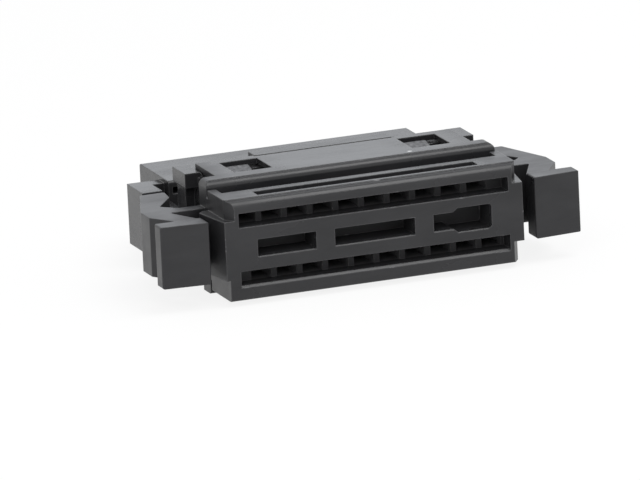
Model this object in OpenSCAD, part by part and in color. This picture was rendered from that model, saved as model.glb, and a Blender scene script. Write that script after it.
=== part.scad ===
// Ribbon-cable socket: a housing with side latch levers, a latched contact carrier, a cover that stands
// open for the cable, and two staggered rows of stamped contacts.
// In every module x runs along the rows, y back from the mating face and z up from the mid-plane.

/* [Contact pattern] */
// Pitch of the contacts along a row
pitch = 1.27; // [1.2:0.01:1.5]
// Contacts in each row
positions = 10; // [8:1:14]
// Distance of each row from the mid-plane at the mating face
row_z = 1.38; // [1.32:0.01:1.45]
// Distance of each row of cable forks from the mid-plane
fork_z = 0.75; // [0.6:0.01:0.85]
// Thickness of the contact sheet
sheet_t = 0.2; // [0.15:0.01:0.25]

/* [Nose] */
// Height of the nose's top above the mid-plane
nose_top = 2.34; // [2.3:0.01:2.4]
// Depth of the nose's underside below the mid-plane
nose_under = 2.42; // [2.34:0.01:2.45]
// Width of the nose beyond the end of a contact slot
nose_end = 0.53; // [0.5:0.01:0.7]
// Depth of the nose at its end walls
nose_d = 2.6; // [2.2:0.05:2.8]
// Depth of the nose at its top and bottom walls
band_d = 1.8; // [1.6:0.05:2]
// Thickness of the end walls that run back past the band
end_wall_t = 0.4; // [0.3:0.01:0.5]
// Rounding of the nose's upper front edge
nose_round = 0.42; // [0.3:0.01:0.5]
// Rounding of the lower front edges
under_round = 0.14; // [0.08:0.01:0.2]
// Step where a rounded edge meets a top face
edge_step = 0.05; // [0.03:0.01:0.07]
// Width of the chamfer on the front corners
corner_w = 0.35; // [0.2:0.01:0.45]
// Depth of the chamfer on the front corners
corner_d = 0.53; // [0.3:0.01:0.8]
// Half height of the neck behind the band
neck_z = 1.95; // [1.9:0.01:2]
// Length of the groove along the top of the nose
groove_len = 10.9; // [9:0.1:12]
// Distance of that groove from the mating face
groove_y = 0.64; // [0.58:0.01:0.75]
// Width of that groove
groove_w = 0.68; // [0.5:0.01:0.8]
// Depth of that groove
groove_d = 0.25; // [0.1:0.01:0.3]

/* [Contact slots and pockets] */
// Height of a contact slot
slot_h = 0.65; // [0.55:0.01:0.7]
// Depth of a contact slot in front of its cells
slot_d = 0.86; // [0.6:0.01:1.1]
// Lead-in chamfer along a slot's mouth
slot_lead = 0.04; // [0.03:0.01:0.08]
// Chamfer along the lower lip of the lower slot
lip_lead = 0.12; // [0.06:0.01:0.14]
// Thickness of the rib between two cells
rib_t = 0.3; // [0.25:0.01:0.35]
// Depth of the three pockets between the rows
pocket_d = 1.55; // [1.2:0.05:2]
// Height of the pockets
pocket_h = 0.8; // [0.6:0.01:1]
// Chamfer along the lower lip of a pocket
pocket_lead = 0.06; // [0.04:0.01:0.1]
// Rounding of the keyed pocket's corners
pocket_round = 0.16; // [0.1:0.01:0.2]
// Width of the middle pocket
mid_pocket_w = 3.96; // [3:0.01:4.4]
// Width of each end pocket
end_pocket_w = 2.88; // [2.4:0.01:3.2]
// Distance of an end pocket's outer edge from the end of the slot
end_pocket_in = 0.88; // [0.6:0.01:1.2]
// Height of the keyed half of the right pocket
key_h = 1.14; // [1:0.01:1.25]
// Width of the keyed half of the right pocket
key_w = 1.7; // [1.4:0.01:1.9]
// Run of the slope into the keyed half
key_slope = 0.2; // [0.1:0.01:0.3]

/* [Frame and latch plates] */
// Distance of the frame from the mating face
frame_y = 2.85; // [2.8:0.01:2.95]
// Depth of the frame
frame_d = 0.95; // [0.9:0.01:1.05]
// Width of the frame beyond the end of a contact slot
frame_end = 0.51; // [0.45:0.01:0.65]
// Distance of the plates' outer faces from the mid-plane
plate_z = 2.67; // [2.62:0.01:2.8]
// Thickness of the latch plates
plate_t = 0.28; // [0.22:0.01:0.3]
// Distance of the plates' back edge from the mating face
plate_back = 6.5; // [6.3:0.05:6.8]
// Setback of the plates' back edge between the windows
plate_notch = 0.16; // [0.1:0.01:0.25]
// Setback of the plates' sides from the end of a contact slot
plate_in = 0.31; // [0.25:0.01:0.5]
// Rounding of the frame's outer front edges
frame_round = 0.3; // [0.15:0.01:0.35]
// Thickness of the frame's front wall
frame_wall = 0.35; // [0.3:0.01:0.4]
// Distance of a latch window from the mating face
window_y = 3.93; // [3.9:0.01:4.1]
// Width of a latch window
window_w = 1.88; // [1.6:0.01:2.2]
// Distance of a window's centre from the middle
window_x = 4.43; // [3.8:0.01:4.6]
// Width of the rim behind a window
window_rim = 0.52; // [0.45:0.01:0.7]

/* [Latch levers] */
// Height of a lever
lever_h = 2.8; // [2.6:0.05:3]
// Gap between the nose's end and a lever's pad
lever_gap = 0.85; // [0.8:0.01:1]
// Width of a lever's front pad
pad_w = 2.32; // [2.1:0.01:2.4]
// Height of a lever's front pad
pad_h = 2.94; // [2.8:0.01:3.1]
// Distance of the pad's inner front edge from the mating face
pad_y = 0.18; // [0:0.01:0.25]
// Setback of the pad's outer front edge from its inner one
pad_slant = 0.22; // [0.1:0.01:0.3]
// Distance of the pad's back from the mating face
pad_back = 1.2; // [1.1:0.01:1.3]
// Rounding of the pad's edges
pad_round = 0.09; // [0.06:0.01:0.14]
// Distance of a lever's hook from the mating face
hook_y = 1.5; // [1.45:0.01:1.8]
// Setback of that hook from the pad's inner edge
hook_in = 0.15; // [0.05:0.01:0.25]
// Reach of a lever's belly past its web
belly_w = 1.14; // [1:0.01:1.3]
// Distance of the belly's front shoulder from the mating face
belly_y = 2.65; // [2.5:0.05:3]
// Length of the belly's flat
belly_len = 1.2; // [1:0.05:1.6]
// Width of the neck between a pad and its lever
lever_neck = 1.25; // [1:0.01:1.4]
// Length of the web from the nose's end to the lever
web_len = 1.75; // [1.5:0.05:1.9]
// Distance of the web's front from the mating face
web_y = 3.08; // [3:0.01:3.2]
// Thickness of the web
web_t = 0.65; // [0.5:0.01:0.7]
// Distance of a lever's back end from the mating face
lever_back = 6.85; // [6.4:0.05:7.1]
// Gap between the nose's end and a lever's tail
tail_gap = 0.64; // [0.55:0.01:0.8]
// Width of a lever's tail
tail_w = 1.2; // [1:0.01:1.4]
// Length of a lever's tail end
tail_d = 1.05; // [0.8:0.05:1.3]
// Rounding of a lever's outline
lever_round = 0.12; // [0.06:0.01:0.16]
// Reach of an end lug at its front
lug_front = 0.17; // [0.1:0.01:0.25]
// Reach of an end lug at its back
lug_back = 0.55; // [0.4:0.01:0.6]

/* [Contact carrier] */
// Clearance between pieces that fit into each other
fit_gap = 0.07; // [0.05:0.01:0.09]
// Gap between a latch plate and the carrier below it
plate_gap = 0.19; // [0.15:0.01:0.22]
// Thickness of the carrier beyond the end contact
carrier_end = 0.16; // [0.14:0.01:0.2]
// Distance of the carrier's back from the mating face
carrier_back = 7.35; // [7.2:0.05:7.6]
// Depth of the end posts
post_d = 1.7; // [1.4:0.05:1.9]
// Distance of the end posts' outer faces from the mid-plane
post_z = 2.45; // [2.4:0.01:2.55]
// Height of an end post
post_h = 0.7; // [0.5:0.01:0.8]
// Setback of the end walls behind their posts
wall_in = 0.6; // [0.4:0.05:0.8]
// Width of a latch ramp
ramp_w = 1.25; // [1:0.01:1.4]
// Height of a latch ramp above the carrier
ramp_h = 0.31; // [0.28:0.01:0.42]
// Run of a latch ramp
ramp_run = 1.4; // [1:0.05:1.6]
// Gap between a latch ramp and the back of its window
ramp_gap = 0.25; // [0.07:0.01:0.3]
// Thickness of a guide arm
arm_t = 0.43; // [0.36:0.01:0.5]
// Height of a guide arm
arm_h = 1.1; // [0.8:0.01:1.2]
// Height of a guide arm's middle above the mid-plane
arm_z = -0.2; // [-0.3:0.01:0]
// Reach of the stop at the end of a guide arm
arm_stop = 0.24; // [0.2:0.01:0.3]
// Length of the stop at the end of a guide arm
arm_tip = 0.4; // [0.3:0.01:0.5]

/* [Cable cover] */
// Gap between the carrier and the open cover
open_gap = 2.05; // [1.9:0.05:2.2]
// Depth of the cover
cover_d = 4; // [3.4:0.05:4.4]
// Width of the cover beyond the end contact
cover_end = 0.32; // [0.26:0.01:0.38]
// Height of the cover's top above the mid-plane
cover_top = 1.21; // [1.18:0.01:1.3]
// Depth of the cover's underside below the mid-plane
cover_under = 1.88; // [1.7:0.01:1.95]
// Rounding of the cover's long edges
cover_round = 0.15; // [0.08:0.01:0.25]
// Thickness of an ear
ear_t = 1.01; // [0.9:0.01:1.1]
// Reach of an ear in front of the cover
ear_lead = 0.72; // [0.5:0.01:0.75]
// Length of the slot between an ear and the cover
ear_slot = 1.35; // [1.2:0.01:1.6]
// Thickness of the strip that joins an ear to the cover
strip_t = 0.75; // [0.6:0.01:0.85]
// Drop of an ear's top below the cover's top
ear_drop = 0.21; // [0.15:0.01:0.3]
// Depth of the fork slots in the cover
fork_slot_d = 1.3; // [1.2:0.05:1.6]
// Diameter of a wire in its insulation
wire_d = 0.52; // [0.4:0.01:0.6]
// Depth of the wire grooves in the cover
wire_groove = 0.15; // [0.08:0.01:0.2]

/* [Contacts] */
// Width of a contact in the carrier
contact_w = 0.7; // [0.6:0.01:0.74]
// Width over a contact's spring beams
spring_w = 0.8; // [0.7:0.01:0.84]
// Width of one spring beam
beam_w = 0.22; // [0.16:0.01:0.26]
// Distance of a contact's front end from the mating face
contact_front = 1.95; // [1.8:0.05:2.1]
// Distance of a contact's bend from the mating face
bend_y = 4.4; // [4.2:0.05:4.6]
// Length of that bend
bend_run = 0.8; // [0.6:0.05:1]
// Reach of a cable fork behind the carrier
fork_reach = 1.4; // [1.2:0.05:1.45]
// Width of a cable fork's slot
fork_slot_w = 0.2; // [0.14:0.01:0.24]
// Length of a cable fork's slot
fork_slot_len = 1.1; // [0.8:0.05:1.2]

/* [Hidden] */
$fn = 32;
cut = 0.01;
half_stagger = pitch / 4;
slot_half = (positions + 0.5) * pitch / 2;
end_contact_x = (positions - 1) * pitch / 2 + half_stagger;
nose_half = slot_half + nose_end;
frame_half = slot_half + frame_end;
plate_half = slot_half - plate_in;
frame_back = frame_y + frame_d;
carrier_half = end_contact_x + contact_w / 2 + carrier_end;
carrier_z = plate_z - plate_t - plate_gap;
rail_z = plate_z - plate_t - fit_gap;
cavity_y = frame_y + frame_wall;
post_front = carrier_back - post_d;
wall_front = post_front + wall_in;
window_d = plate_back - window_rim - window_y;
tab_in = window_x - window_w / 2;
flange_half = tab_in - fit_gap;
flange_y = plate_back - plate_notch + 2 * fit_gap;
cover_front = carrier_back + open_gap;
cover_half = end_contact_x + contact_w / 2 + cover_end;
arm_x = cover_half + fit_gap;
arm_out = arm_x + arm_t;
ear_in = arm_out + fit_gap;
ear_front = cover_front - ear_lead;
strip_y = ear_front + ear_slot;
strip_back = strip_y + strip_t;
arm_end = strip_back + fit_gap + arm_tip;
depth = cover_front + cover_d;
full_h = 2 * plate_z;
plastic = [0.075, 0.075, 0.08];
plating = [0.78, 0.63, 0.33];

function two_digits(i) = str(i < 10 ? "0" : "", i);
function contact_name(row, i) = str(row, "_contact_", two_digits(i));
function contact_x(side, i) = (i - (positions + 1) / 2) * pitch - side * half_stagger;

// Moves the working frame to the part's frame: centred, standing on the lower plate
module stand() {
    translate([0, -depth / 2, plate_z]) children();
}

// Box given by its two corners
module span(low, high) {
    translate(low) cube(high - low);
}

// Rectangle with round corners, given by its two corners
module round_span(low, high, r) {
    translate([low.x + r, low.y]) square([high.x - low.x - 2 * r, high.y - low.y]);
    translate([low.x, low.y + r]) square([high.x - low.x, high.y - low.y - 2 * r]);
    for (x = [low.x + r, high.x - r], y = [low.y + r, high.y - r]) translate([x, y]) circle(r);
}

// Extrudes a y-z profile along x over the given half length
module along_x(half) {
    translate([-half, 0, 0]) rotate([90, 0, 90]) linear_extrude(2 * half) children();
}

// Both the shape and its mirror image in the mid-plane
module above_and_below() {
    children();
    mirror([0, 0, 1]) children();
}

// Both the shape and its mirror image at the other end
module both_ends() {
    children();
    mirror([1, 0, 0]) children();
}

// Upper half of a y-z profile with a round front edge and a small step up to the top face behind it
module eased_half(front, back, high, r, step) {
    translate([front + r, 0]) square([back - front - r, high]);
    translate([front, 0]) square([r, high - step - r]);
    translate([front + r, high - step - r]) circle(r);
}

// The nose's block with round front edges, chamfered at three of its four front corners.
// The lower left corner stays square and keys the socket.
module nose_block() {
    difference() {
        along_x(nose_half) {
            eased_half(0, nose_d, nose_top, nose_round, edge_step);
            mirror([0, 1]) eased_half(0, nose_d, nose_under, under_round, 0);
        }
        for (end = [-1, 1]) scale_end(end) corner_cut(lever_h / 2, full_h);
        corner_cut(-full_h, -lever_h / 2);
        above_and_below()
            span([-nose_half + end_wall_t, band_d, neck_z], [nose_half - end_wall_t, frame_y, full_h]);
        span([-groove_len / 2, groove_y, nose_top - groove_d], [groove_len / 2, groove_y + groove_w, full_h]);
    }
}

// Puts a right-hand shape at the end named by 1 or -1
module scale_end(end) {
    mirror([end < 0 ? 1 : 0, 0, 0]) children();
}

// Wedge that chamfers a right-hand front corner between two heights
module corner_cut(low, high) {
    translate([0, 0, low]) linear_extrude(high - low) polygon([
        [nose_half - corner_w, -cut],
        [nose_half + cut, corner_d],
        [nose_half + corner_w, corner_d],
        [nose_half + corner_w, -cut]]);
}

// One contact slot with its lead-in, and the cells behind it
module slot_and_cells(side) {
    low_lead = side < 0 ? lip_lead : slot_lead;
    cell_w = pitch - rib_t;
    translate([0, 0, side * row_z]) {
        along_x(slot_half) polygon([
            [-cut, -slot_h / 2 - low_lead],
            [low_lead, -slot_h / 2],
            [slot_d, -slot_h / 2],
            [slot_d, slot_h / 2],
            [slot_lead, slot_h / 2],
            [-cut, slot_h / 2 + slot_lead]]);
        for (i = [1 : positions]) translate([contact_x(side, i) - cell_w / 2, slot_d - cut, -slot_h / 2])
            cube([cell_w, cavity_y + 2 * cut - slot_d, slot_h]);
    }
}

// One pocket's cut between two widths, with a chamfer along its lower lip
module pocket(left, right, height) {
    low = -height / 2;
    translate([left, 0, 0]) rotate([90, 0, 90]) linear_extrude(right - left) polygon([
        [-cut, low - pocket_lead],
        [pocket_lead, low],
        [pocket_d, low],
        [pocket_d, -low],
        [-cut, -low]]);
}

// The three pockets between the rows, the right one keyed by a taller outer half
module pockets() {
    outer = slot_half - end_pocket_in;
    inner = outer - end_pocket_w;
    key = outer - key_w;
    pocket(-mid_pocket_w / 2, mid_pocket_w / 2, pocket_h);
    pocket(-outer, -inner, pocket_h);
    pocket(inner, key, pocket_h);
    pocket(key, outer - pocket_round, key_h);
    translate([0, pocket_d, 0]) rotate([90, 0, 0]) linear_extrude(pocket_d + cut) {
        round_span([key, -key_h / 2], [outer, key_h / 2], pocket_round);
        polygon([
            [key - key_slope, -pocket_h / 2],
            [key + cut, -key_h / 2],
            [key + cut, key_h / 2],
            [key - key_slope, pocket_h / 2]]);
    }
}

// The frame behind the neck, and the latch plates that reach back from it
module frame_and_plates() {
    intersection() {
        along_x(frame_half) {
            eased_half(frame_y, frame_back, plate_z, frame_round, edge_step);
            mirror([0, 1]) eased_half(frame_y, frame_back, plate_z, under_round, 0);
        }
        translate([0, frame_back, 0]) rotate([90, 0, 0]) linear_extrude(frame_d) {
            round_span([-frame_half, -plate_z], [frame_half, plate_z], frame_round);
            translate([-frame_half, -plate_z]) square([2 * frame_half, plate_z]);
        }
    }
    above_and_below() difference() {
        span([-plate_half, frame_back - cut, plate_z - plate_t], [plate_half, plate_back, plate_z]);
        span([-tab_in, plate_back - plate_notch, 0], [tab_in, plate_back + cut, full_h]);
        for (end = [-1, 1]) translate([end * window_x - window_w / 2, window_y, plate_z - plate_t - cut])
            cube([window_w, window_d, plate_t + 2 * cut]);
    }
}

// Wedge-shaped lug on the nose's right end
module end_lug() {
    translate([0, 0, -lever_h / 2]) linear_extrude(lever_h) {
        polygon([
            [nose_half - end_wall_t, 0],
            [nose_half + lug_front, 0],
            [nose_half + lug_back, nose_d - lug_back / 2],
            [nose_half + lug_back / 2, nose_d],
            [nose_half - end_wall_t, nose_d]]);
    }
}

// Right-hand latch lever: hooked front arm, web to the frame, and tail in one outline, and a slanted pad
module lever() {
    pad_in = nose_half + lever_gap;
    pad_out = pad_in + pad_w;
    pad_mid = (pad_y + pad_back) / 2;
    web_out = nose_half + web_len;
    web_back = web_y + web_t;
    tail_in = nose_half + tail_gap;
    neck_out = pad_in + lever_neck;
    belly = web_out + belly_w;
    translate([0, 0, -lever_h / 2]) linear_extrude(lever_h)
        offset(r = lever_round) offset(r = -2 * lever_round) offset(r = lever_round) polygon(concat(
            [[pad_in, pad_mid], [pad_in, pad_back], [pad_in + hook_in, hook_y], [web_out, web_y]],
            [[frame_half - end_wall_t, web_y], [frame_half - end_wall_t, web_back]],
            [[web_out - web_t, web_back], [web_out, web_back + web_t]],
            [[tail_in + lever_round, lever_back - tail_d], [tail_in, lever_back]],
            [[tail_in + tail_w, lever_back], [belly, belly_y + belly_len], [belly, belly_y]],
            [[neck_out, hook_y], [neck_out, pad_mid]]));
    intersection() {
        translate([0, 0, -pad_h / 2]) linear_extrude(pad_h)
            offset(r = pad_round) offset(r = -pad_round) polygon([
                [pad_in, pad_y],
                [pad_out, pad_y + pad_slant],
                [pad_out, pad_back],
                [pad_in, pad_back]]);
        translate([0, pad_back, 0]) rotate([90, 0, 0]) linear_extrude(pad_back)
            round_span([pad_in, -pad_h / 2], [pad_out, pad_h / 2], pad_round);
    }
}

// Black moulded housing with its levers
module socket_housing() {
    color(plastic) stand() difference() {
        union() {
            nose_block();
            span([-nose_half + cut, band_d - cut, -neck_z], [nose_half - cut, frame_y + cut, neck_z]);
            frame_and_plates();
            both_ends() {
                end_lug();
                lever();
            }
        }
        for (side = [-1, 1]) slot_and_cells(side);
        pockets();
        span([-carrier_half - fit_gap, cavity_y, -carrier_z - fit_gap],
            [carrier_half + fit_gap, frame_back + cut, carrier_z + fit_gap]);
    }
}

// Side profile of a contact, grown by a clearance on both faces
module contact_side(grow, back) {
    half = sheet_t / 2 + grow;
    polygon([
        [contact_front, row_z - half],
        [bend_y, row_z - half],
        [bend_y + bend_run, fork_z - half],
        [back, fork_z - half],
        [back, fork_z + half],
        [bend_y + bend_run, fork_z + half],
        [bend_y, row_z + half],
        [contact_front, row_z + half]]);
}

// Ramp that snaps into a plate window from below
module latch_ramp(x) {
    translate([x, window_y + window_d - ramp_gap, carrier_z - cut]) rotate([90, 0, 90])
        linear_extrude(ramp_w) polygon([[-ramp_run, 0], [0, 0], [0, ramp_h + cut]]);
}

// Right-hand guide arm with the stop that keeps the open cover on
module guide_arm() {
    stop_y = strip_back + fit_gap;
    translate([0, 0, arm_z - arm_h / 2]) linear_extrude(arm_h) polygon([
        [arm_x, wall_front],
        [arm_out, wall_front],
        [arm_out, stop_y],
        [arm_out + arm_stop, stop_y],
        [arm_out, arm_end],
        [arm_x, arm_end]]);
}

// Right-hand end wall of the carrier, with a post above and below it
module end_wall() {
    wall_z = post_z - post_h + cut;
    span([carrier_half - cut, wall_front, -wall_z], [arm_x + arm_t / 2, carrier_back, wall_z]);
    above_and_below()
        span([plate_half + fit_gap, post_front, post_z - post_h], [nose_half, carrier_back, post_z]);
}

// Black moulded carrier that holds the contacts and latches into the housing.
// A flange fills the plates' notches, and the lower one runs on as a foot behind the whole plate.
module contact_carrier() {
    color(plastic) stand() difference() {
        union() {
            span([-carrier_half, cavity_y + fit_gap, -carrier_z], [carrier_half, carrier_back, carrier_z]);
            span([-plate_half, plate_back + fit_gap, -plate_z], [plate_half, carrier_back, 0]);
            above_and_below() {
                span([-plate_half, post_front, carrier_z - cut], [plate_half, carrier_back, rail_z]);
                span([-flange_half, flange_y, 0], [flange_half, carrier_back, plate_z]);
                for (end = [-1, 1]) latch_ramp(end * window_x - window_w / 2 + fit_gap);
            }
            both_ends() {
                end_wall();
                guide_arm();
            }
        }
        for (side = [-1, 1], i = [1 : positions])
            translate([contact_x(side, i), 0, 0]) mirror([0, 0, side < 0 ? 1 : 0])
                along_x(contact_w / 2 + fit_gap / 2) contact_side(fit_gap / 2, carrier_back + cut);
    }
}

// Right-hand ear, joined to the cover by a strip that the guide arm passes through
module ear() {
    difference() {
        span([cover_half - cut, ear_front, -cover_under], [ear_in + ear_t, strip_back, cover_top - ear_drop]);
        span([cover_half - 2 * cut, ear_front - cut, -cover_under - cut], [ear_in, strip_y, cover_top]);
        span([cover_half, strip_y - cut, arm_z - arm_h / 2 - fit_gap],
            [ear_in, strip_back + cut, arm_z + arm_h / 2 + fit_gap]);
    }
}

// Black moulded cover, open: grooves hold the wires and slots take the forks when it is pressed home
module cable_cover() {
    wires = 2 * positions;
    wire_y = cover_front + wire_groove - wire_d / 2;
    color(plastic) stand() difference() {
        union() {
            along_x(cover_half) round_span([cover_front, -cover_under], [depth, cover_top], cover_round);
            both_ends() ear();
        }
        for (side = [-1, 1], i = [1 : positions]) translate([contact_x(side, i), 0, side * fork_z])
            span([-spring_w / 2 - fit_gap, cover_front - cut, -sheet_t / 2 - fit_gap],
                [spring_w / 2 + fit_gap, cover_front + fork_slot_d, sheet_t / 2 + fit_gap]);
        for (w = [1 : wires])
            translate([(w - (wires + 1) / 2) * pitch / 2, wire_y, -cover_under - cut])
                cylinder(h = cover_under + cover_top + 2 * cut, d = wire_d);
    }
}

// One stamped contact: spring beams in front, a joggled body and a cable fork behind
module contact(side, i) {
    fork_back = carrier_back + fork_reach;
    spring_back = cavity_y;
    beam_len = spring_back - contact_front - 2 * beam_w;
    color(plating) stand() translate([contact_x(side, i), 0, 0]) mirror([0, 0, side < 0 ? 1 : 0])
        intersection() {
            along_x(spring_w) contact_side(0, fork_back);
            translate([0, 0, -plate_z]) linear_extrude(full_h) difference() {
                union() {
                    translate([-spring_w / 2, contact_front]) square([spring_w, spring_back - contact_front]);
                    translate([-contact_w / 2, contact_front + beam_w])
                        square([contact_w, fork_back - contact_front]);
                }
                translate([-spring_w / 2 + beam_w, contact_front - cut])
                    square([spring_w - 2 * beam_w, beam_len]);
                translate([-fork_slot_w / 2, fork_back - fork_slot_len])
                    square([fork_slot_w, fork_slot_len + cut]);
                polygon([
                    [-fork_slot_w / 2, fork_back - fork_slot_w],
                    [-fork_slot_w, fork_back + cut],
                    [fork_slot_w, fork_back + cut],
                    [fork_slot_w / 2, fork_back - fork_slot_w]]);
            }
        }
}

socket_housing();
contact_carrier();
cable_cover();
for (i = [1 : positions]) {
    contact(1, i);
    contact(-1, i);
}
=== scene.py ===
import math

import bpy
from mathutils import Matrix, Vector


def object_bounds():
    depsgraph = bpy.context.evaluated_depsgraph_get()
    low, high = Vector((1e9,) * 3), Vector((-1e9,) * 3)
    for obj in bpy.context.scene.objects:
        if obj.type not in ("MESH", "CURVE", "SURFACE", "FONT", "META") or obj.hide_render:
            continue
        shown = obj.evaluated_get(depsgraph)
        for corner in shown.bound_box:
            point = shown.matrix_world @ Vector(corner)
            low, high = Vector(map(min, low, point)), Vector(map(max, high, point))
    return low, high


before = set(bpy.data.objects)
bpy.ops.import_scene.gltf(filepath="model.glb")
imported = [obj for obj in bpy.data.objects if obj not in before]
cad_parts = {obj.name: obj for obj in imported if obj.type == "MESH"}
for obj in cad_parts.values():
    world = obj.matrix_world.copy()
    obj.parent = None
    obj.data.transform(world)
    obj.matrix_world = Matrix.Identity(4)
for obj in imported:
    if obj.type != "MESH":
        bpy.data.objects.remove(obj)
solid_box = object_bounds()

# The photographer's view: a long lens a little to the left of the mating face and above it, with the
# camera rolled a few degrees, so that the contact rows climb to the right.
MM = 0.001
VIEW_YAW = math.radians(20.0)
VIEW_RISE = math.radians(14.43)
VIEW_ROLL = math.radians(2.74)
LENS_MM = 665.0
SENSOR_MM = 36.0
CLIP_NEAR = 0.01
CLIP_FAR = 20.0
CAMERA_AWAY = 547 * MM
PIXELS_PER_MM = 21.606
PICTURE_MIDDLE = Vector((320.0, 240.0))
AIM_PIXEL = Vector((377.5, 280.4))
AIM_HEIGHT = 0.335 * MM

looking = Vector((
    math.sin(VIEW_YAW) * math.cos(VIEW_RISE),
    math.cos(VIEW_YAW) * math.cos(VIEW_RISE),
    -math.sin(VIEW_RISE)))
level_right = Vector((math.cos(VIEW_YAW), -math.sin(VIEW_YAW), 0.0))
level_up = level_right.cross(looking)
picture_right = level_right * math.cos(VIEW_ROLL) - level_up * math.sin(VIEW_ROLL)
picture_up = level_up * math.cos(VIEW_ROLL) + level_right * math.sin(VIEW_ROLL)
aim_point = Vector((0.0, solid_box[0][1], AIM_HEIGHT))
right_of_aim = (PICTURE_MIDDLE.x - AIM_PIXEL.x) / PIXELS_PER_MM * MM
above_aim = (AIM_PIXEL.y - PICTURE_MIDDLE.y) / PIXELS_PER_MM * MM
camera_place = aim_point - looking * CAMERA_AWAY + picture_right * right_of_aim + picture_up * above_aim

lens = bpy.data.cameras.new("photo_lens")
lens.lens = LENS_MM
lens.sensor_width = SENSOR_MM
lens.clip_start = CLIP_NEAR
lens.clip_end = CLIP_FAR
photo_camera = bpy.data.objects.new("photo_camera", lens)
turn = Matrix((picture_right, picture_up, -looking)).transposed().to_4x4()
photo_camera.matrix_world = Matrix.Translation(camera_place) @ turn
bpy.context.scene.collection.objects.link(photo_camera)
bpy.context.scene.camera = photo_camera
bpy.context.scene.view_settings.view_transform = "Standard"

# The white sweep under and behind the socket: a pale matt board. The lens and mirror-like faces see it
# as nearly plain white, and its matt share keeps a soft shadow.
FLOOR_SIDE = 3.0
FLOOR_DROP = 0.01 * MM
BOARD_WHITE = (0.93, 0.93, 0.93, 1.0)
GLOW_STRENGTH = 1.0
GLOW_SHARE = 0.86


def wire(tree, kind, feeds, **settings):
    made = tree.nodes.new(kind)
    for setting, value in settings.items():
        setattr(made, setting, value)
    for name, source in feeds.items():
        if isinstance(source, bpy.types.NodeSocket):
            tree.links.new(source, made.inputs[name])
        else:
            made.inputs[name].default_value = source
    return made


def maths(tree, operation, *sources):
    return wire(tree, "ShaderNodeMath", dict(enumerate(sources)), operation=operation).outputs[0]


def background_rays(tree):
    ray = wire(tree, "ShaderNodeLightPath", {}).outputs
    mirrored = maths(tree, "MAXIMUM", ray["Is Camera Ray"], ray["Is Glossy Ray"])
    return maths(tree, "MAXIMUM", mirrored, ray["Is Transmission Ray"])


white_board = bpy.data.materials.new("white_board")
white_board.use_nodes = True
tree = white_board.node_tree
tree.nodes.clear()
matt = wire(tree, "ShaderNodeBsdfDiffuse", {"Color": BOARD_WHITE})
glow = wire(tree, "ShaderNodeEmission", {"Strength": GLOW_STRENGTH})
share = maths(tree, "MULTIPLY", background_rays(tree), GLOW_SHARE)
mixed = wire(tree, "ShaderNodeMixShader", {0: share, 1: matt.outputs[0], 2: glow.outputs[0]})
wire(tree, "ShaderNodeOutputMaterial", {"Surface": mixed.outputs[0]})

half = FLOOR_SIDE / 2
corners = [(-half, -half, 0.0), (half, -half, 0.0), (half, half, 0.0), (-half, half, 0.0)]
board = bpy.data.meshes.new("floor_board")
board.from_pydata(corners, [], [(0, 1, 2, 3)])
board.materials.append(white_board)
floor = bpy.data.objects.new("floor_board", board)
floor.location.z = -FLOOR_DROP
bpy.context.scene.collection.objects.link(floor)

# Soft studio light: a white tent all round, a broad lamp overhead, a weak one from the front left and a
# cool window far behind, which the level tops mirror.
TENT_GREY = (0.8, 0.8, 0.8, 1.0)
TENT_LIGHT = 0.75
TENT_WHITE = (1.0, 1.0, 1.0, 1.0)
LAMP_WHITE = (1.0, 1.0, 1.0)
DAYLIGHT = (0.72, 0.83, 1.0)
LAMP_TARGET = Vector((0.0, 0.0, 3 * MM))

tent = bpy.data.worlds.new("light_tent")
tent.use_nodes = True
bpy.context.scene.world = tent
tree = tent.node_tree
tree.nodes.clear()
dim = wire(tree, "ShaderNodeBackground", {"Color": TENT_GREY, "Strength": TENT_LIGHT})
white = wire(tree, "ShaderNodeBackground", {"Color": TENT_WHITE})
mixed = wire(tree, "ShaderNodeMixShader", {
    0: background_rays(tree), 1: dim.outputs[0], 2: white.outputs[0]})
wire(tree, "ShaderNodeOutputWorld", {"Surface": mixed.outputs[0]})


def soft_lamp(name, place, side, watts, colour=LAMP_WHITE):
    lamp = bpy.data.lights.new(name, "AREA")
    lamp.shape = "SQUARE"
    lamp.size = side
    lamp.energy = watts
    lamp.color = colour
    hung = bpy.data.objects.new(name, lamp)
    hung.location = place
    hung.rotation_euler = (LAMP_TARGET - Vector(place)).to_track_quat("-Z", "Y").to_euler()
    bpy.context.scene.collection.objects.link(hung)


soft_lamp("overhead_box", place=(0.08, -0.055, 0.23), side=0.15, watts=0.28)
soft_lamp("front_fill", place=(-0.13, -0.22, 0.19), side=0.18, watts=0.25)
soft_lamp("far_window", place=(0.35, 0.95, 0.54), side=1.0, watts=0.95, colour=DAYLIGHT)

# The housing: one black glass-filled nylon moulding with the nose, the latch plates and both levers.
# The steel mould leaves a fine matt grain, slow flow marks along the rows and paler, rubbed edges.
# Its core pins leave the slots, pockets and cells rougher than the outside. Inside the cells the colour is
# lifted to a lighter grey: painted light that brightens their shade.
HOUSING_BLACK = (0.019, 0.019, 0.0207, 1.0)
HOUSING_PALE = (0.03, 0.03, 0.0322, 1.0)
HOUSING_ROUGH = 0.24
HOUSING_GRAIN = 0.2
NYLON_IOR = 1.4

# Noise textures: scale per metre, detail, roughness. Spans: the part of a noise that is stretched to 0..1.
FLOW_MARKS = (700.0, 4.0, 0.6)
FLOW_STRETCH = (0.35, 1.0, 1.0)
TONE_SPAN = (0.32, 0.74)
SHEEN_SPAN = (0.3, 0.7)
SHEEN_BELOW = 0.07
SHEEN_ABOVE = 0.09
FINE_GRAIN = (9000.0, 3.0, 0.65)
GRAIN_DEPTH = 0.02 * MM

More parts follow.
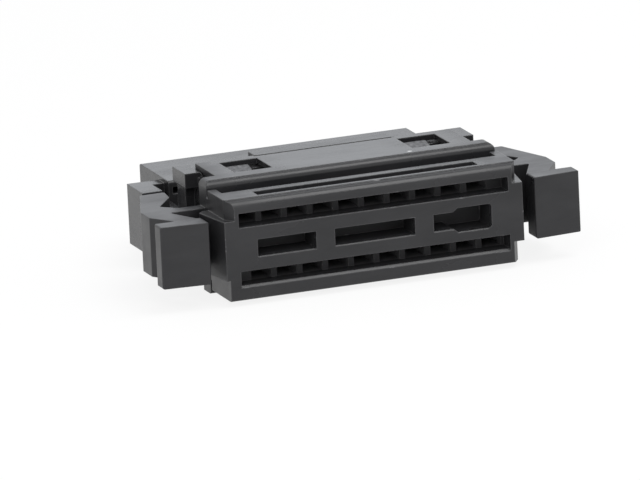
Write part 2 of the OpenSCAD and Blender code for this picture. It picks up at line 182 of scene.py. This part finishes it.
# Wear: an edge counts from the cosine between its rounded normal and the flat one.
EDGE_RADIUS = 0.07 * MM
EDGE_SAMPLES = 6
EDGE_COSINES = (0.995, 0.86)
RUBBED_EDGE = (0.13, 0.13, 0.135, 1.0)
RUBBED_PATCHES = (1500.0, 3.0, 0.5)
NICK_PALE = (0.28, 0.28, 0.288, 1.0)
NICKS = (3800.0, 2.0, 0.5)
NICK_SPAN = (0.66, 0.74)
SCUFF_SPECKS = (5200.0, 3.0, 0.5)
SCUFF_SPAN = (0.28, 0.72)
SCUFF_CORE = 0.6
PLATE_SCUFF = (0.75, 0.75, 0.77, 1.0)
PLATE_SCUFF_PLACE = (3.16, -3.25, 5.34)
PLATE_SCUFF_REACH = 0.13 * MM

# Zones of the mould: mm out from the middle and what they add to the roughness there.
POLISHED_MIDDLE = ((0.0, -0.05), (2.3, -0.05), (3.1, 0.0), (5.6, 0.0), (6.3, 0.08), (7.5, 0.1))
ZONE_REACH = 11 * MM
ZONE_SWING = 0.2

# Faces made by the core pins, and the cells that get the painted light: middle and half sizes in mm of the
# boxes that hold them.
CORE_ROUGH = 0.58
CORE_MIDDLE = (0.0, -4.7, 2.67)
CORE_HALF = (6.75, 1.7, 1.75)
CELL_PAINTED_LIGHT = (0.12, 0.12, 0.126, 1.0)
PAINTED_LIGHT_MIDDLES = ((0.0, -4.3, 1.29), (0.0, -4.3, 4.05))
PAINTED_LIGHT_HALF = (6.75, 1.5, 0.4)


def noise(tree, place, texture):
    scale, detail, roughness = texture
    return wire(tree, "ShaderNodeTexNoise", {
        "Vector": place, "Scale": scale, "Detail": detail, "Roughness": roughness}).outputs[0]


def stretch(tree, amount, span, to=(0.0, 1.0)):
    return wire(tree, "ShaderNodeMapRange", {
        "Value": amount, "From Min": span[0], "From Max": span[1],
        "To Min": to[0], "To Max": to[1]}).outputs[0]


def ramp(tree, amount, stops):
    made = wire(tree, "ShaderNodeValToRGB", {"Fac": amount})
    steps = made.color_ramp.elements
    while len(steps) < len(stops):
        steps.new(1.0)
    for step, (position, colour) in zip(steps, stops):
        step.position = position
        step.color = colour
    return made.outputs[0]


def blend(tree, share, below, above, kind="RGBA"):
    return wire(tree, "ShaderNodeMix", {
        "Factor": share, "A": below, "B": above}, data_type=kind).outputs["Result"]


def zone_roughness(tree, place, zones):
    apart = wire(tree, "ShaderNodeSeparateXYZ", {0: place}).outputs
    outward = stretch(tree, maths(tree, "ABSOLUTE", apart["X"]), (0.0, ZONE_REACH))
    stops = []
    for out_mm, change in zones:
        level = 0.5 + change / ZONE_SWING
        stops.append((out_mm * MM / ZONE_REACH, (level, level, level, 1.0)))
    return stretch(tree, ramp(tree, outward, stops), (0.0, 1.0), (-ZONE_SWING / 2, ZONE_SWING / 2))


def moulded_black(name, deep, pale, rough, grain, shift, zones=()):
    finish = bpy.data.materials.new(name)
    finish.use_nodes = True
    tree = finish.node_tree
    tree.nodes.clear()
    place = wire(tree, "ShaderNodeTexCoord", {}).outputs["Object"]
    along = wire(tree, "ShaderNodeMapping", {
        "Vector": place, "Location": shift, "Scale": FLOW_STRETCH}).outputs[0]
    flow = noise(tree, along, FLOW_MARKS)
    plain = ramp(tree, flow, tuple(zip(TONE_SPAN, (deep, pale))))

    rounded = wire(tree, "ShaderNodeBevel", {"Radius": EDGE_RADIUS}, samples=EDGE_SAMPLES).outputs[0]
    flat = wire(tree, "ShaderNodeNewGeometry", {}).outputs["Normal"]
    cosine = wire(tree, "ShaderNodeVectorMath", {0: rounded, 1: flat}, operation="DOT_PRODUCT")
    edge = stretch(tree, cosine.outputs["Value"], EDGE_COSINES)
    rubbed = maths(tree, "MULTIPLY", edge, noise(tree, place, RUBBED_PATCHES))
    chipped = stretch(tree, noise(tree, along, NICKS), NICK_SPAN)
    nicked = maths(tree, "MULTIPLY", edge, chipped)
    worn = blend(tree, nicked, blend(tree, rubbed, plain, RUBBED_EDGE), NICK_PALE)

    sheen = stretch(tree, flow, SHEEN_SPAN, (rough - SHEEN_BELOW, rough + SHEEN_ABOVE))
    if zones:
        sheen = maths(tree, "ADD", sheen, zone_roughness(tree, place, zones))
    bump = wire(tree, "ShaderNodeBump", {
        "Strength": grain, "Distance": GRAIN_DEPTH,
        "Height": noise(tree, place, FINE_GRAIN), "Normal": rounded})
    skin = wire(tree, "ShaderNodeBsdfPrincipled", {
        "IOR": NYLON_IOR, "Base Color": worn, "Roughness": sheen, "Normal": bump.outputs[0]})
    wire(tree, "ShaderNodeOutputMaterial", {"Surface": skin.outputs[0]})
    return finish


def skin_input(tree, quality):
    skin = next(node for node in tree.nodes if node.type == "BSDF_PRINCIPLED")
    return skin.inputs[quality]


def scuff(finish, spots, reach, colour):
    tree = finish.node_tree
    target = skin_input(tree, "Base Color")
    below = target.links[0].from_socket
    place = wire(tree, "ShaderNodeTexCoord", {}).outputs["Object"]
    patchy = stretch(tree, noise(tree, place, SCUFF_SPECKS), SCUFF_SPAN)
    for spot in spots:
        middle = [mm * MM for mm in spot]
        away = wire(tree, "ShaderNodeVectorMath", {0: place, 1: middle}, operation="DISTANCE")
        near = stretch(tree, away.outputs["Value"], (reach, reach * SCUFF_CORE))
        below = blend(tree, maths(tree, "MULTIPLY", near, patchy), below, colour)
    tree.links.new(below, target)


def change_inside(finish, quality, value, middle, half_sizes):
    tree = finish.node_tree
    target = skin_input(tree, quality)
    outside = target.links[0].from_socket
    place = wire(tree, "ShaderNodeTexCoord", {}).outputs["Object"]
    centred = wire(tree, "ShaderNodeVectorMath", {
        0: place, 1: [mm * MM for mm in middle]}, operation="SUBTRACT")
    apart = wire(tree, "ShaderNodeSeparateXYZ", {0: centred.outputs[0]}).outputs
    across, deep, up = [
        maths(tree, "COMPARE", apart[axis], 0.0, half_size * MM)
        for axis, half_size in zip("XYZ", half_sizes)]
    inside = maths(tree, "MULTIPLY", maths(tree, "MULTIPLY", across, deep), up)
    kind = "RGBA" if quality == "Base Color" else "FLOAT"
    tree.links.new(blend(tree, inside, outside, value, kind), target)


def dress(node, finish):
    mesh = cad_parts[node].data
    mesh.materials.clear()
    mesh.materials.append(finish)


housing_nylon = moulded_black(
    "housing_nylon", HOUSING_BLACK, HOUSING_PALE, HOUSING_ROUGH, HOUSING_GRAIN,
    shift=(0.0, 0.0, 0.0), zones=POLISHED_MIDDLE)
scuff(housing_nylon, [PLATE_SCUFF_PLACE], PLATE_SCUFF_REACH, PLATE_SCUFF)
change_inside(housing_nylon, "Roughness", CORE_ROUGH, CORE_MIDDLE, CORE_HALF)
# Painted light: a lighter grey base colour inside the cells stands in for light reaching their shade.
for painted_light_middle in PAINTED_LIGHT_MIDDLES:
    change_inside(housing_nylon, "Base Color", CELL_PAINTED_LIGHT, painted_light_middle, PAINTED_LIGHT_HALF)
dress("socket_housing", housing_nylon)

# The contact carrier: a second black nylon moulding that holds the stamped contacts and snaps into the
# plates' windows. It comes from another mould, and the snap has scuffed its four latch ramps pale.
CARRIER_BLACK = (0.019, 0.019, 0.0205, 1.0)
CARRIER_PALE = (0.03, 0.03, 0.032, 1.0)
CARRIER_ROUGH = 0.24
CARRIER_GRAIN = 0.2
CARRIER_SHIFT = (0.013, 0.0091, 0.0169)
RAMP_SCUFF = (0.14, 0.14, 0.147, 1.0)
RAMP_SCUFF_REACH = 1.0 * MM
RAMPS = [(x, -1.6, z) for x in (-4.67, 4.19) for z in (0.28, 5.06)]

carrier_nylon = moulded_black(
    "carrier_nylon", CARRIER_BLACK, CARRIER_PALE, CARRIER_ROUGH, CARRIER_GRAIN, CARRIER_SHIFT)
scuff(carrier_nylon, RAMPS, RAMP_SCUFF_REACH, RAMP_SCUFF)
dress("contact_carrier", carrier_nylon)

# The cable cover: a black moulded bar of the same nylon, whose two ears ride on the carrier's guide arms.
# Its broad top takes the press tool, and it is a little greyer than the other two mouldings.
COVER_BLACK = (0.022, 0.022, 0.0235, 1.0)
COVER_PALE = (0.036, 0.036, 0.038, 1.0)
COVER_ROUGH = 0.23
COVER_GRAIN = 0.25
COVER_SHIFT = (0.029, 0.0203, 0.0377)

cover_nylon = moulded_black(
    "cover_nylon", COVER_BLACK, COVER_PALE, COVER_ROUGH, COVER_GRAIN, COVER_SHIFT)
dress("cable_cover", cover_nylon)

# The contacts: copper-alloy strip, stamped and bent, with cloudy tin plating over the cable forks.
# The spring beams in the cells have a thin, dull gold flash. Rolling leaves fine lines along the strip.
TIN_BRIGHT = (0.66, 0.62, 0.53, 1.0)
TIN_CLOUDY = (0.42, 0.37, 0.28, 1.0)
TIN_CLOUDS = (1800.0, 4.0, 0.5)
TIN_SPAN = (0.35, 0.65)
TIN_ROUGH = (0.24, 0.46)
DULL_FLASH = (0.17, 0.13, 0.07, 1.0)
FLASH_FADE = (-2.9 * MM, -3.4 * MM)
ROLLED_LINES = (16000.0, 3.0, 0.5)
ROLLED_STRETCH = (1.0, 0.06, 1.0)
LINE_STRENGTH = 0.25
LINE_DEPTH = 0.01 * MM

plated = bpy.data.materials.new("plated_strip")
plated.use_nodes = True
tree = plated.node_tree
place = wire(tree, "ShaderNodeTexCoord", {}).outputs["Object"]
cloud = noise(tree, place, TIN_CLOUDS)
tin = ramp(tree, cloud, tuple(zip(TIN_SPAN, (TIN_CLOUDY, TIN_BRIGHT))))
apart = wire(tree, "ShaderNodeSeparateXYZ", {0: place}).outputs
flashed = blend(tree, stretch(tree, apart["Y"], FLASH_FADE), tin, DULL_FLASH)
dull = stretch(tree, cloud, (0.0, 1.0), TIN_ROUGH)
along = wire(tree, "ShaderNodeMapping", {"Vector": place, "Scale": ROLLED_STRETCH}).outputs[0]
lines = wire(tree, "ShaderNodeBump", {
    "Strength": LINE_STRENGTH, "Distance": LINE_DEPTH, "Height": noise(tree, along, ROLLED_LINES)})
skin_input(tree, "Metallic").default_value = 1.0
tree.links.new(flashed, skin_input(tree, "Base Color"))
tree.links.new(dull, skin_input(tree, "Roughness"))
tree.links.new(lines.outputs[0], skin_input(tree, "Normal"))
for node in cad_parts:
    if "_contact_" in node:
        dress(node, plated)
